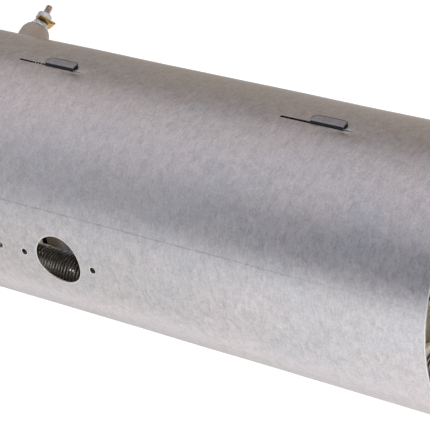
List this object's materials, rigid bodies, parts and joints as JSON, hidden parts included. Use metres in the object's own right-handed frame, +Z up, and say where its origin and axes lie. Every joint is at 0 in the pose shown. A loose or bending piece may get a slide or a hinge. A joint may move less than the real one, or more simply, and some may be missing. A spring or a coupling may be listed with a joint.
{
  "type": "tubular open-coil air heater",
  "caption": "Round galvanised duct heater: open resistance coils on ceramic bushings inside, thermostat ports in the wall and ceramic stud terminals.",
  "frame": {"origin": "middle of the duct, on its axis", "axes": "+X along the duct's axis to the outlet mouth, away from the terminals; +Z up through the slots and ears of the centre web; the thermostat ports face -Y"},
  "size_m": [0.3, 0.138, 0.1192],
  "materials": {
    "galvanised_sheet": "galvanised sheet, satin, finely mottled",
    "heated_sheet": "galvanised sheet browned by heat",
    "bushing_ceramic": "unglazed cream steatite",
    "terminal_ceramic": "unglazed beige steatite",
    "resistance_wire": "drawn nickel-chrome wire, satin",
    "zinc_hardware": "bright zinc plate",
    "terminal_brass": "stamped brass, lightly tarnished",
    "stud_steel": "plain steel thread with a warm tarnish"
  },
  "bodies": {
    "heater_body": {"bushing_1_coil_1": "bushing_ceramic", "bushing_1_coil_2": "bushing_ceramic", "bushing_1_coil_3": "bushing_ceramic", "bushing_1_coil_4": "bushing_ceramic", "bushing_2_coil_1": "bushing_ceramic", "bushing_2_coil_2": "bushing_ceramic", "bushing_2_coil_3": "bushing_ceramic", "bushing_2_coil_4": "bushing_ceramic", "bushing_3_coil_1": "bushing_ceramic", "bushing_3_coil_2": "bushing_ceramic", "bushing_3_coil_3": "bushing_ceramic", "bushing_3_coil_4": "bushing_ceramic", "carrier_front_1": "heated_sheet", "carrier_front_2": "heated_sheet", "carrier_front_3": "heated_sheet", "carrier_rear_1": "heated_sheet", "carrier_rear_2": "heated_sheet", "carrier_rear_3": "heated_sheet", "carrier_rivet_1": "zinc_hardware", "carrier_rivet_2": "zinc_hardware", "carrier_rivet_3": "zinc_hardware", "carrier_rivet_4": "zinc_hardware", "carrier_rivet_5": "zinc_hardware", "carrier_rivet_6": "zinc_hardware", "centre_web": "galvanised_sheet", "coil_1": "resistance_wire", "coil_2": "resistance_wire", "coil_3": "resistance_wire", "coil_4": "resistance_wire", "coil_link_1": "resistance_wire", "coil_link_2": "resistance_wire", "duct_shell": "galvanised_sheet", "lead_terminal_1_coil_1": "resistance_wire", "lead_terminal_1_coil_4": "resistance_wire", "lead_terminal_2_coil_2": "resistance_wire", "lead_terminal_2_coil_3": "resistance_wire", "terminal_1_clamp_nut": "zinc_hardware", "terminal_1_flat_washer": "zinc_hardware", "terminal_1_inner_ceramic": "terminal_ceramic", "terminal_1_inner_nut": "zinc_hardware", "terminal_1_inner_washer": "zinc_hardware", "terminal_1_outer_ceramic": "terminal_ceramic", "terminal_1_stud": "stud_steel", "terminal_2_clamp_nut": "zinc_hardware", "terminal_2_flat_washer": "zinc_hardware", "terminal_2_inner_ceramic": "terminal_ceramic", "terminal_2_inner_nut": "zinc_hardware", "terminal_2_inner_washer": "zinc_hardware", "terminal_2_outer_ceramic": "terminal_ceramic", "terminal_2_stud": "stud_steel"},
    "terminal_1_tab": {"terminal_1_tab": "terminal_brass"},
    "terminal_1_lock_washer": {"terminal_1_lock_washer": "zinc_hardware"},
    "terminal_1_nut": {"terminal_1_nut": "zinc_hardware"},
    "terminal_2_tab": {"terminal_2_tab": "terminal_brass"},
    "terminal_2_lock_washer": {"terminal_2_lock_washer": "zinc_hardware"},
    "terminal_2_nut": {"terminal_2_nut": "zinc_hardware"}
  },
  "joints": [
    {"name": "terminal_1_tab_swivel", "type": "hinge", "parent": "heater_body", "child": "terminal_1_tab", "pos_m": [-0.1325, 0.06435, 0.03552], "axis": [0, 0.8755, 0.4833], "continuous": true},
    {"name": "terminal_1_nut_travel", "type": "slide", "parent": "heater_body", "child": "terminal_1_lock_washer", "axis": [0, 0.8755, 0.4833], "range_m": [0, 0.00317]},
    {"name": "terminal_1_nut_turn", "type": "hinge", "parent": "terminal_1_lock_washer", "child": "terminal_1_nut", "pos_m": [-0.1325, 0.0668, 0.03687], "axis": [0, 0.8755, 0.4833], "range_deg": [0, 1440]},
    {"name": "terminal_2_tab_swivel", "type": "hinge", "parent": "heater_body", "child": "terminal_2_tab", "pos_m": [-0.1325, 0.07062, -0.02038], "axis": [0, 0.9608, -0.2773], "continuous": true},
    {"name": "terminal_2_nut_travel", "type": "slide", "parent": "heater_body", "child": "terminal_2_lock_washer", "axis": [0, 0.9608, -0.2773], "range_m": [0, 0.00317]},
    {"name": "terminal_2_nut_turn", "type": "hinge", "parent": "terminal_2_lock_washer", "child": "terminal_2_nut", "pos_m": [-0.1325, 0.07331, -0.02116], "axis": [0, 0.9608, -0.2773], "range_deg": [0, 1440]}
  ],
  "couplings": [
    {"joint": "terminal_1_nut_turn", "follows": "terminal_1_nut_travel", "rad_per_m": 7915.8},
    {"joint": "terminal_2_nut_turn", "follows": "terminal_2_nut_travel", "rad_per_m": 7915.8}
  ]
}
